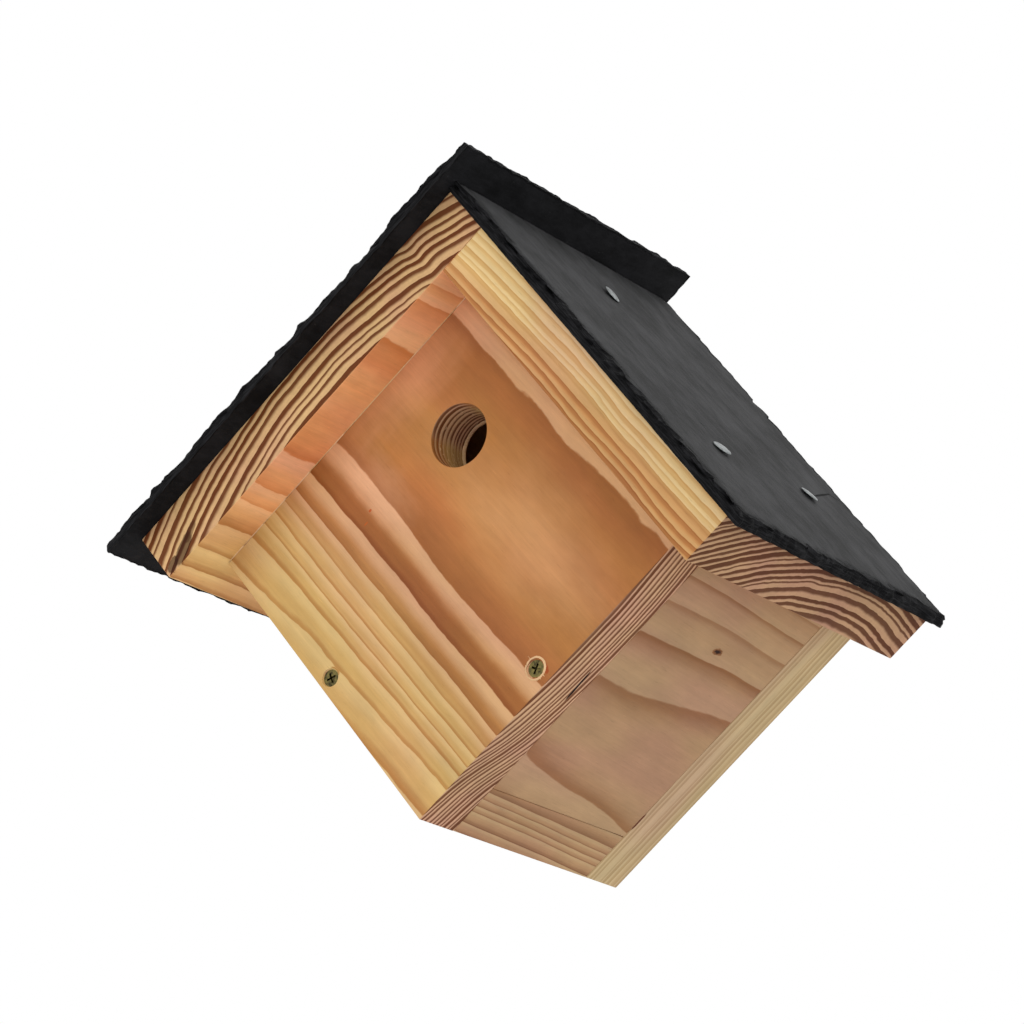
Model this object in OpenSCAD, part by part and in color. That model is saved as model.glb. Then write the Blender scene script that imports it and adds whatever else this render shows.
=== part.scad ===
// Wall-hung nest box, square on its corner, with a slate on each slope of its roof.
// Millimetres, +Z up, front towards -Y. The origin is the centre of the hanging hole, on the wall.
//
// The box is drawn in a slope frame turned 45 degrees about Y, with its origin on the wooden ridge:
// a is the distance down the right slope, b the distance down the left slope, y the depth.

/* [Boards] */
// Thickness of every board
board_t = 25; // [18:1:32]

/* [Box] */
// Side of the square front and back panels
panel_w = 162; // [130:1:220]
// Depth of the nesting space between the two panels
chamber_depth = 104; // [85:1:160]
// Gap between the removable front panel and the roof boards
panel_gap = 0.3; // [0.2:0.1:1.5]

/* [Entrance] */
// Diameter of the entrance hole
entrance_d = 28; // [24:1:45]
// Height from the hole's centre up to the panel's top corner
entrance_drop = 65; // [50:1:90]

/* [Roof boards] */
// How far the roof boards reach in front of the front panel
roof_front = 24; // [10:1:40]
// How far the back panel stands out behind the roof boards
back_proud = 7; // [2:0.5:12]
// How far the left roof board runs past the wall under it
eave_left = 17; // [5:1:40]
// How far the right roof board runs past the wall under it
eave_right = 25; // [5:1:45]

/* [Slates] */
// Thickness of the slates
slate_t = 5; // [3:0.5:8]
// How far the left slate runs past the wooden ridge
slate_ridge = 21; // [12:1:30]
// Front overhang of the left slate
slate_front_left = 12; // [2:1:20]
// Front overhang of the right slate
slate_front_right = 3; // [1:1:20]
// Rear overhang of both slates, up to the back panel's rear face at most
slate_back = 1; // [0:0.5:2]
// How far the left slate runs past its board at the eave
slate_eave_left = 13; // [5:1:25]
// How far the right slate runs past its board at the eave
slate_eave_right = 8; // [5:1:25]

/* [Slate nails] */
// Shank diameter of a slate nail
nail_d = 2.6; // [2:0.1:3.4]
// Wood left between a nail's point and the underside of its board
nail_cover = 3; // [1:0.5:8]
// Diameter of a nail's head
nail_head_d = 9; // [7:0.5:12]
// Thickness of a nail's head
nail_head_t = 1; // [0.6:0.1:1.6]
// Distance from the wooden ridge down to the upper nail
nail_upper = 38; // [30:1:60]
// Distance from the wooden ridge down to the two lower nails
nail_lower = 158; // [130:1:170]
// Distance between the two lower nails
nail_spread = 73; // [50:1:90]

/* [Board screws] */
// Shank diameter of a board screw
screw_d = 4; // [3:0.5:5]
// Whole length of a board screw
screw_l = 50; // [40:1:60]
// Diameter of a countersunk head
screw_head_d = 8; // [7:0.5:9.5]
// Height of a countersunk head
screw_head_h = 2.6; // [2:0.1:3.5]
// Width across the arms of the cross recess
recess_w = 4.6; // [3:0.1:5.5]
// Width of one arm of the cross recess
recess_arm = 0.9; // [0.6:0.1:1.4]
// Gap all round every shank and head in its hole
hole_gap = 0.2; // [0.1:0.05:0.4]

/* [Front screws] */
// Left screw: distance down the panel's edge from the left roof board
front_left_down = 81; // [50:1:110]
// Left screw: distance in from the panel's lower left edge
front_left_in = 6; // [5:0.5:14]
// Right screw: distance down the panel's edge from the right roof board
front_right_down = 83; // [50:1:110]
// Right screw: distance in from the panel's lower right edge
front_right_in = 8.5; // [5:0.5:14]

/* [Hanger] */
// Height from the hanging hole up to the back panel's top corner
hanger_drop = 60; // [50:1:90]
// Width of the keyhole plate
hanger_w = 24; // [18:1:34]
// Thickness of the keyhole plate
hanger_t = 1.5; // [1:0.25:2.5]
// Diameter of the round opening that the wall screw's head enters
key_d = 10; // [8:0.5:12]
// Width of the slot that the wall screw's neck slides up
slot_w = 5; // [4:0.5:6]
// Distance from the round opening's centre up to the slot's end
slot_l = 12; // [10:1:18]
// Depth of the pocket behind the plate
pocket_depth = 10; // [6:1:12]
// Distance from the keyhole's two ends to the plate's screws
hanger_screw_out = 13; // [11:1:18]
// Shank diameter of a hanger screw
hanger_screw_d = 3; // [2.5:0.5:3.5]
// Whole length of a hanger screw
hanger_screw_l = 16; // [10:1:18]
// Diameter of a hanger screw's head
hanger_screw_head_d = 6; // [5:0.5:7]

/* [Hidden] */
$fn = 64;
cut = 1;                                     // how far a cutting shape runs past a face
root2 = sqrt(2);

// Depths, from the wall forwards
back_front_y = -board_t;
wall_front_y = back_front_y - chamber_depth;
panel_front_y = wall_front_y - board_t;
roof_front_y = panel_front_y - roof_front;
roof_back_y = -back_proud;

// Distances down the slopes
box_in = board_t;                            // underside of a roof board
box_out = box_in + panel_w;                  // outer face of a lower wall
wall_in = box_out - board_t;                 // inner face of a lower wall
wall_mid = box_out - board_t / 2;
left_end = box_out + eave_left;
right_end = box_out + eave_right;
ridge_z = hanger_drop + board_t * root2;
entrance_at = box_in + entrance_drop / root2;
slate_back_y = roof_back_y + slate_back;

// Places of the hidden screws
ridge_screw_b = board_t / 2;
ridge_screw_y = [roof_front_y + 35, roof_back_y - 35];
wall_screw_y = [wall_front_y + board_t + 1, back_front_y - board_t - 1];
back_screw_y = (back_front_y + roof_back_y) / 2;
back_screw_at = [box_in + panel_w * 0.22, box_in + panel_w * 0.62];
roof_back_at = [box_in + panel_w * 0.22, box_in + panel_w * 0.77];

// Places of the slate nails: distance down the slope and depth
nail_mid_y = (roof_front_y + roof_back_y) / 2 - 2.5;
nail_at = [
    [nail_upper, nail_mid_y],
    [nail_lower, nail_mid_y - nail_spread / 2],
    [nail_lower, nail_mid_y + nail_spread / 2]
];

screw_tip = 6;                               // length of a screw's point
nail_tip = 3;                                // length of a nail's point
nail_l = slate_t + board_t - nail_cover;     // length of a nail's shank under its head
point_d = 0.6;                               // diameter left at a point's end
hanger_mid_z = slot_l / 2;
hanger_screw_z = [-hanger_screw_out, slot_l + hanger_screw_out];
hanger_h = slot_l + 2 * hanger_screw_out + 2 * hanger_screw_head_d;

// ---- frames and blanks ----

// The frame of the slopes: X runs down the right slope, -Z down the left slope
module slope_frame() {
    translate([0, 0, ridge_z]) rotate([0, 45, 0]) children();
}

// A box from a0 to a1, b0 to b1 and y0 to y1
module board(a0, a1, b0, b1, y0, y1) {
    translate([a0, y0, -b1]) cube([a1 - a0, y1 - y0, b1 - b0]);
}

// Each of these stands a fastener's head on a face, with its shank into the wood
module into_left_roof(b, y) translate([0, y, -b]) rotate([0, -90, 0]) children();
module into_right_roof(a, y) translate([a, y, 0]) children();
module into_left_wall(a, y) translate([a, y, -box_out]) rotate([180, 0, 0]) children();
module into_front(a, b) translate([a, panel_front_y, -b]) rotate([90, 0, 0]) children();
module into_back(a, b) translate([a, 0, -b]) rotate([-90, 0, 0]) children();

// ---- fasteners, head at the top, point down ----

module shank(d, l, tip) {
    translate([0, 0, tip - l]) cylinder(d = d, h = l - tip);
    translate([0, 0, -l]) cylinder(d1 = point_d, d2 = d, h = tip);
}

module cross_recess(w, arm, depth) {
    for (turn = [0, 90])
        rotate([0, 0, turn]) translate([-w / 2, -arm / 2, -depth]) cube([w, arm, depth + cut]);
}

module countersunk_screw(d, l, head_d, head_h, cross_w) {
    difference() {
        union() {
            translate([0, 0, -head_h]) cylinder(d1 = d, d2 = head_d, h = head_h);
            translate([0, 0, -head_h]) shank(d, l - head_h, min(screw_tip, l / 3));
        }
        cross_recess(cross_w, recess_arm, head_h * 0.7);
    }
}

// Hole for a countersunk screw, with its gap, running past the face by the cut
module countersunk_hole(d, l, head_d, head_h) {
    translate([0, 0, -l - hole_gap]) cylinder(d = d + 2 * hole_gap, h = l);
    translate([0, 0, -head_h]) cylinder(d1 = d + 2 * hole_gap, d2 = head_d + 2 * hole_gap, h = head_h);
    translate([0, 0, -hole_gap]) cylinder(d = head_d + 2 * hole_gap, h = hole_gap + cut);
}

module board_screw() {
    color("silver") countersunk_screw(screw_d, screw_l, screw_head_d, screw_head_h, recess_w);
}
module board_screw_hole() countersunk_hole(screw_d, screw_l, screw_head_d, screw_head_h);

module slate_nail() {
    color("lightgray") translate([0, 0, slate_t]) {
        cylinder(d = nail_head_d, h = nail_head_t);
        shank(nail_d, nail_l, nail_tip);
    }
}
module slate_nail_hole() {
    translate([0, 0, slate_t - nail_l - hole_gap]) cylinder(d = nail_d + 2 * hole_gap, h = nail_l + cut);
}

module hanger_screw_shape() {
    countersunk_screw(hanger_screw_d, hanger_screw_l, hanger_screw_head_d, hanger_t,
        hanger_screw_head_d * 0.6);
}
module hanger_screw_hole() {
    countersunk_hole(hanger_screw_d, hanger_screw_l, hanger_screw_head_d, hanger_t);
}

// ---- where each group of fasteners goes ----

module at_nail_left(i) into_left_roof(nail_at[i][0], nail_at[i][1]) children();
module at_nail_right(i) into_right_roof(nail_at[i][0], nail_at[i][1]) children();
module at_ridge_screw(i) into_left_roof(ridge_screw_b, ridge_screw_y[i]) children();
module at_roof_wall_left(i) into_left_roof(wall_mid, wall_screw_y[i]) children();
module at_roof_wall_right(i) into_right_roof(wall_mid, wall_screw_y[i]) children();
module at_roof_back_left(i) into_left_roof(roof_back_at[i], back_screw_y) children();
module at_roof_back_right(i) into_right_roof(roof_back_at[i], back_screw_y) children();
module at_corner_screw(i) into_left_wall(wall_mid, wall_screw_y[i]) children();
module at_back_left(i) into_back(back_screw_at[i], wall_mid) children();
module at_back_right(i) into_back(wall_mid, back_screw_at[i]) children();
module at_front_left() into_front(box_in + front_left_down, box_out - front_left_in) children();
module at_front_right() into_front(box_out - front_right_in, box_in + front_right_down) children();

// ---- boards ----

module roof_board_left() {
    color("burlywood") slope_frame() difference() {
        board(0, board_t, 0, left_end, roof_front_y, roof_back_y);
        for (i = [0, 1]) {
            at_ridge_screw(i) board_screw_hole();
            at_roof_wall_left(i) board_screw_hole();
            at_roof_back_left(i) board_screw_hole();
        }
        for (i = [0, 1, 2]) at_nail_left(i) slate_nail_hole();
    }
}

module roof_board_right() {
    color("burlywood") slope_frame() difference() {
        board(board_t, right_end, 0, board_t, roof_front_y, roof_back_y);
        for (i = [0, 1]) {
            at_ridge_screw(i) board_screw_hole();
            at_roof_wall_right(i) board_screw_hole();
            at_roof_back_right(i) board_screw_hole();
        }
        for (i = [0, 1, 2]) at_nail_right(i) slate_nail_hole();
    }
}

module front_panel() {
    color("sandybrown") slope_frame() difference() {
        board(box_in + panel_gap, box_out, box_in + panel_gap, box_out, panel_front_y, wall_front_y);
        translate([entrance_at, panel_front_y - cut, -entrance_at])
            rotate([-90, 0, 0]) cylinder(d = entrance_d, h = board_t + 2 * cut);
        at_front_left() board_screw_hole();
        at_front_right() board_screw_hole();
    }
}

module back_panel() {
    color("wheat") difference() {
        slope_frame() difference() {
            board(box_in, box_out, box_in, box_out, back_front_y, 0);
            for (i = [0, 1]) {
                at_roof_back_left(i) board_screw_hole();
                at_roof_back_right(i) board_screw_hole();
                at_back_left(i) board_screw_hole();
                at_back_right(i) board_screw_hole();
            }
        }
        hanger_recess();
    }
}

module wall_left() {
    color("burlywood") slope_frame() difference() {
        board(box_in, box_out, wall_in, box_out, wall_front_y, back_front_y);
        for (i = [0, 1]) {
            at_roof_wall_left(i) board_screw_hole();
            at_corner_screw(i) board_screw_hole();
            at_back_left(i) board_screw_hole();
        }
        at_front_left() board_screw_hole();
    }
}

module wall_right() {
    color("rosybrown") slope_frame() difference() {
        board(wall_in, box_out, box_in, wall_in, wall_front_y, back_front_y);
        for (i = [0, 1]) {
            at_roof_wall_right(i) board_screw_hole();
            at_corner_screw(i) board_screw_hole();
            at_back_right(i) board_screw_hole();
        }
        at_front_right() board_screw_hole();
    }
}

// ---- slates ----

// The left slate runs past the ridge and covers the top edge of the right one
module slate_left() {
    color("dimgray") slope_frame() difference() {
        board(-slate_t, 0, -slate_ridge, left_end + slate_eave_left,
            roof_front_y - slate_front_left, slate_back_y);
        for (i = [0, 1, 2]) at_nail_left(i) slate_nail_hole();
    }
}

module slate_right() {
    color("dimgray") slope_frame() difference() {
        board(0, right_end + slate_eave_right, -slate_t, 0,
            roof_front_y - slate_front_right, slate_back_y);
        for (i = [0, 1, 2]) at_nail_right(i) slate_nail_hole();
    }
}

// ---- hanger ----

// A slot with round ends, from the hanging hole up, drawn towards -Y from the wall
module keyhole_shape(round_d, neck_w, depth) {
    rotate([90, 0, 0]) {
        translate([0, 0, -cut]) cylinder(d = round_d, h = depth + cut);
        translate([0, slot_l, -cut]) cylinder(d = neck_w, h = depth + cut);
        translate([-neck_w / 2, 0, -cut]) cube([neck_w, slot_l, depth + cut]);
    }
}

module hanger_recess() {
    translate([-hanger_w / 2 - hole_gap, -hanger_t, hanger_mid_z - hanger_h / 2 - hole_gap])
        cube([hanger_w + 2 * hole_gap, hanger_t + cut, hanger_h + 2 * hole_gap]);
    keyhole_shape(key_d + 2, key_d + 2, pocket_depth);
    for (z = hanger_screw_z) translate([0, 0, z]) rotate([-90, 0, 0]) hanger_screw_hole();
}

module hanger_plate() {
    color("silver") difference() {
        translate([-hanger_w / 2, -hanger_t, hanger_mid_z - hanger_h / 2])
            cube([hanger_w, hanger_t, hanger_h]);
        keyhole_shape(key_d, slot_w, hanger_t + cut);
        for (z = hanger_screw_z) translate([0, 0, z]) rotate([-90, 0, 0]) hanger_screw_hole();
    }
}

module hanger_screw(i) {
    color("silver") translate([0, 0, hanger_screw_z[i]]) rotate([-90, 0, 0]) hanger_screw_shape();
}

// ---- fasteners in place ----

module slate_nail_left(i) slope_frame() at_nail_left(i) slate_nail();
module slate_nail_right(i) slope_frame() at_nail_right(i) slate_nail();
module ridge_screw(i) slope_frame() at_ridge_screw(i) board_screw();
module roof_wall_screw_left(i) slope_frame() at_roof_wall_left(i) board_screw();
module roof_wall_screw_right(i) slope_frame() at_roof_wall_right(i) board_screw();
module roof_back_screw_left(i) slope_frame() at_roof_back_left(i) board_screw();
module roof_back_screw_right(i) slope_frame() at_roof_back_right(i) board_screw();
module corner_screw(i) slope_frame() at_corner_screw(i) board_screw();
module back_screw_left(i) slope_frame() at_back_left(i) board_screw();
module back_screw_right(i) slope_frame() at_back_right(i) board_screw();
module front_screw_left() slope_frame() at_front_left() board_screw();
module front_screw_right() slope_frame() at_front_right() board_screw();

roof_board_left();
roof_board_right();
front_panel();
back_panel();
wall_left();
wall_right();
slate_left();
slate_right();
slate_nail_left(0);  // slate_nail_left_1
slate_nail_left(1);  // slate_nail_left_2
slate_nail_left(2);  // slate_nail_left_3
slate_nail_right(0);  // slate_nail_right_1
slate_nail_right(1);  // slate_nail_right_2
slate_nail_right(2);  // slate_nail_right_3
ridge_screw(0);  // ridge_screw_1
ridge_screw(1);  // ridge_screw_2
roof_wall_screw_left(0);  // roof_wall_screw_left_1
roof_wall_screw_left(1);  // roof_wall_screw_left_2
roof_wall_screw_right(0);  // roof_wall_screw_right_1
roof_wall_screw_right(1);  // roof_wall_screw_right_2
roof_back_screw_left(0);  // roof_back_screw_left_1
roof_back_screw_left(1);  // roof_back_screw_left_2
roof_back_screw_right(0);  // roof_back_screw_right_1
roof_back_screw_right(1);  // roof_back_screw_right_2
corner_screw(0);  // corner_screw_1
corner_screw(1);  // corner_screw_2
back_screw_left(0);  // back_screw_left_1
back_screw_left(1);  // back_screw_left_2
back_screw_right(0);  // back_screw_right_1
back_screw_right(1);  // back_screw_right_2
front_screw_left();
front_screw_right();
hanger_plate();
hanger_screw(0);  // hanger_screw_1
hanger_screw(1);  // hanger_screw_2
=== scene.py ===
import math
import random

import bmesh
import bpy
from mathutils import Matrix
from mathutils import Vector
from mathutils import noise


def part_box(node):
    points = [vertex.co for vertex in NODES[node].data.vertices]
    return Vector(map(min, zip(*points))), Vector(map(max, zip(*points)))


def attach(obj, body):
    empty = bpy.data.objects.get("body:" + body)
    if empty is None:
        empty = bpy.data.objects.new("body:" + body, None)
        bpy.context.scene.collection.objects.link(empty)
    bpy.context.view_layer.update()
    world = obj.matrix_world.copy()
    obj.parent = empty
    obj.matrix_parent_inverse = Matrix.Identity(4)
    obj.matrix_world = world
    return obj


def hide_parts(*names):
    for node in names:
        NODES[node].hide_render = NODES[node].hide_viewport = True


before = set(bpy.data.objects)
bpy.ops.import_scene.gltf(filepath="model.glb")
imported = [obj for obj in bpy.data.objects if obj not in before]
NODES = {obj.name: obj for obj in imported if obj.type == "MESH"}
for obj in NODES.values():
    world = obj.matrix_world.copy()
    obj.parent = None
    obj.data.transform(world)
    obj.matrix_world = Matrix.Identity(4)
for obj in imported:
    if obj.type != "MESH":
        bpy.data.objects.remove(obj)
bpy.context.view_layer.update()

# ---- driving dimensions, in metres ----

MM = 0.001
BOARD = 0.025
SLATE = 0.005
ENTRANCE_R = 0.014
# The entrance's middle is this far straight below the corner where the roof boards meet inside
ENTRANCE_DROP = 0.065
ARRIS = 0.0006
FRONT_ARRIS = 0.3 * MM
NAIL_PROUD = 0.0007
SCREW_SUNK = 0.0006
# Points that lie closer together than this are joined
MERGE = 0.002 * MM
# An edge that turns further than this is an arris
ARRIS_TURN = math.radians(40)
# An edge that turns by an angle between these lies in a round face
FLAT_TURN = math.radians(1)
ROUND_TURN = math.radians(20)

# The slope frame: a runs down the right slope, b down the left slope, d back from the roof's front
DOWN_RIGHT = Vector((1, 0, -1)).normalized()
DOWN_LEFT = Vector((-1, 0, -1)).normalized()
BACK = Vector((0, 1, 0))
ROOF_LOW, ROOF_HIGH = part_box("roof_board_left")
PANEL_LOW, PANEL_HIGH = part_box("front_panel")
RIDGE = Vector((0, ROOF_LOW.y, ROOF_HIGH.z))
PANEL_D = PANEL_LOW.y - ROOF_LOW.y
PANEL = (PANEL_HIGH.x - PANEL_LOW.x) / math.sqrt(2)


def at(a, b, d):
    """A point from its distances down the two slopes and back from the roof's front."""
    return RIDGE + DOWN_RIGHT * a + DOWN_LEFT * b + BACK * d


def to_slopes(point):
    """A point's distances down the right slope, down the left slope and back."""
    away = point - RIDGE
    return Vector((away.dot(DOWN_RIGHT), away.dot(DOWN_LEFT), away.dot(BACK)))


SLOPE_TURN = Matrix((DOWN_RIGHT, DOWN_LEFT, BACK)).transposed()
# The way out of the right slope's upper face and of the left slope's
OUTWARD = (-DOWN_LEFT, -DOWN_RIGHT)


# ---- node helpers ----

HALF = (0.5, 0.5, 0.5)


class Bench:
    """A node tree with short words for the nodes that the finishes are made of."""

    def __init__(self, tree):
        self.tree = tree

    def put(self, kind, inputs=(), **settings):
        node = self.tree.nodes.new(kind)
        for key, value in settings.items():
            setattr(node, key, value)
        for key, value in dict(inputs).items():
            self.feed(node.inputs[key], value)
        return node

    def feed(self, socket, value):
        if isinstance(value, bpy.types.NodeSocket):
            self.tree.links.new(value, socket)
        elif value is not None:
            socket.default_value = value

    def math(self, operation, first, second=None, third=None):
        values = {0: first, 1: second, 2: third}
        return self.put("ShaderNodeMath", values, operation=operation).outputs[0]

    def vector(self, operation, first, second=None):
        node = self.put("ShaderNodeVectorMath", {0: first, 1: second}, operation=operation)
        scalar = operation in ("LENGTH", "DOT_PRODUCT")
        return node.outputs["Value" if scalar else "Vector"]

    def mix(self, share, first, second, blend="MIX"):
        values = {0: share, 6: first, 7: second}
        node = self.put("ShaderNodeMix", values, data_type="RGBA", blend_type=blend)
        return node.outputs[2]

    def blend(self, share, first, second):
        values = {0: share, 2: first, 3: second}
        return self.put("ShaderNodeMix", values, data_type="FLOAT").outputs[0]

    def step(self, value, start, end, low=0.0, high=1.0):
        values = {0: value, 1: start, 2: end, 3: low, 4: high}
        node = self.put("ShaderNodeMapRange", values, interpolation_type="SMOOTHSTEP")
        return node.outputs[0]

    def noise(self, place, stretch, detail=2.0, rough=0.5, colour=False):
        spread = self.vector("MULTIPLY", place, stretch)
        values = {"Vector": spread, "Scale": 1.0, "Detail": detail, "Roughness": rough}
        node = self.put("ShaderNodeTexNoise", values)
        return node.outputs["Color" if colour else "Fac"]

    def sway(self, place, stretch, detail, rough=0.5):
        """A noise that swings to both sides of zero on each axis."""
        return self.vector("SUBTRACT", self.noise(place, stretch, detail, rough, True), HALF)

    def join(self, x, y, z=None):
        return self.put("ShaderNodeCombineXYZ", {"X": x, "Y": y, "Z": z}).outputs[0]

    def grow(self, value, factor, base):
        """A value times a factor, plus a base."""
        return self.math("MULTIPLY_ADD", value, factor, base)

    def times(self, first, second):
        return self.math("MULTIPLY", first, second)

    def group(self, tree, inputs):
        node = self.put("ShaderNodeGroup", node_tree=tree)
        for key, value in inputs.items():
            self.feed(node.inputs[key], value)
        return node.outputs


def start_group(name, inputs, outputs):
    """An empty node group with its sockets, and the bench to fill it on."""
    tree = bpy.data.node_groups.new(name, "ShaderNodeTree")
    for label, kind, value in inputs:
        socket = tree.interface.new_socket(label, in_out="INPUT", socket_type="NodeSocket" + kind)
        if value is not None:
            socket.default_value = value
    for label, kind in outputs:
        tree.interface.new_socket(label, in_out="OUTPUT", socket_type="NodeSocket" + kind)
    bench = Bench(tree)
    entry = bench.put("NodeGroupInput").outputs
    leave = bench.put("NodeGroupOutput").inputs
    return bench, entry, leave


def tone(red, green, blue):
    """A colour from its everyday 0 to 255 values."""
    made = []
    for value in (red, green, blue):
        share = value / 255
        made.append(share / 12.92 if share <= 0.04045 else ((share + 0.055) / 1.055) ** 2.4)
    return (*made, 1.0)


# ---- shared effects ----

# Noise cells to a millimetre, twice across the grain and once along it
WOOD_CELLS = {
    "slow bend": (0.021, 0.021, 0.0085), "quick bend": (0.07, 0.07, 0.026),
    "nibble": (0.34, 0.34, 0.16), "sap drift": (0.03, 0.03, 0.008),
    "broad": (0.028, 0.028, 0.009), "cloud": (0.13, 0.13, 0.05), "streak": (0.75, 0.75, 0.022),
    "fibre": (3.1, 3.1, 0.085), "pore": (2.2, 2.2, 0.16), "blush": (0.04, 0.04, 0.014),
}
# How much the quick bends and the nibbles add to the slow ones
QUICK_SHARE = (0.55, 0.55, 0.0)
NIBBLE_SHARE = (0.12, 0.12, 0.0)
ACROSS_GRAIN = (1.0, 1.0, 0.0)
# Where in its year a ring's dark crest starts and is full, and where the dark falls off again
CREST_START = 0.78
CREST_FULL = 0.95
RING_FALL = 0.965


def ring_count(bench, entry):
    """How many rings lie inside each point, and how far it is outside the pith distance."""
    place = entry["Place"]
    slow = bench.sway(place, WOOD_CELLS["slow bend"], 1.0)
    quick = bench.sway(place, WOOD_CELLS["quick bend"], 2.0)
    nibble = bench.sway(place, WOOD_CELLS["nibble"], 2.0)
    quick = bench.vector("MULTIPLY", quick, QUICK_SHARE)
    quick = bench.vector("ADD", quick, bench.vector("MULTIPLY", nibble, NIBBLE_SHARE))
    jag = bench.join(entry["Jag"], entry["Jag"])
    slow = bench.vector("ADD", slow, bench.vector("MULTIPLY", quick, jag))
    wave = bench.join(entry["Wave"], entry["Wave"])
    bent = bench.vector("ADD", place, bench.vector("MULTIPLY", slow, wave))
    across = bench.vector("LENGTH", bench.vector("MULTIPLY", bent, ACROSS_GRAIN))
    out = bench.math("SUBTRACT", across, entry["Pith Distance"])
    out = bench.math("ADD", out, entry["Lift"])

    limit = entry["Crowding End"]
    near = bench.math("MINIMUM", out, limit)
    beyond = bench.math("SUBTRACT", out, near)
    rate = bench.grow(entry["Ring Crowding"], near, entry["Ring Rate"])
    count = bench.grow(rate, near, entry["First Ring"])
    last = bench.times(entry["Ring Crowding"], limit)
    last = bench.grow(last, 2.0, entry["Ring Rate"])
    count = bench.grow(beyond, last, count)
    years = bench.grow(count, 0.45, entry["Seed"])
    years = bench.put(
        "ShaderNodeTexNoise", {"W": years, "Scale": 1.0, "Detail": 1.0}, noise_dimensions="1D")
    years = bench.math("SUBTRACT", years.outputs["Fac"], 0.5)
    return bench.grow(years, entry["Uneven"], count), out


def late_wood(bench, entry, count, sap):
    """How dark each ring is at a point, and how far its middle wood has filled in."""
    end = entry["End"]
    ring = bench.math("FLOOR", count)
    share = bench.math("FRACT", count)
    key = bench.math("ADD", ring, entry["Seed"])
    dice = bench.put("ShaderNodeTexWhiteNoise", {"W": key}, noise_dimensions="1D").outputs["Value"]
    side_start = bench.blend(sap, entry["Late Start"], entry["Sap Start"])
    start = bench.blend(end, side_start, entry["End Start"])
    start = bench.grow(bench.math("SUBTRACT", dice, 0.5), 0.26, start)
    soft = bench.blend(end, bench.blend(sap, 0.3, 0.14), entry["End Soft"])
    full = bench.math("ADD", start, soft)
    body = bench.step(share, start, bench.math("MINIMUM", full, CREST_FULL))
    crest = bench.step(share, CREST_START, CREST_FULL)
    body_share = bench.blend(end, 0.6, 1.0)
    crest_share = bench.math("SUBTRACT", 1.0, body_share)
    dark = bench.math("ADD", bench.times(body, body_share), bench.times(crest, crest_share))
    fall = bench.step(share, RING_FALL, 1.0, 1.0, 0.0)
    dark = bench.times(dark, fall)
    faint = bench.blend(end, -0.55, -0.1)
    dark = bench.times(dark, bench.grow(dice, faint, 1.0))
    return dark, bench.times(bench.step(share, 0.1, 0.6), fall)


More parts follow.
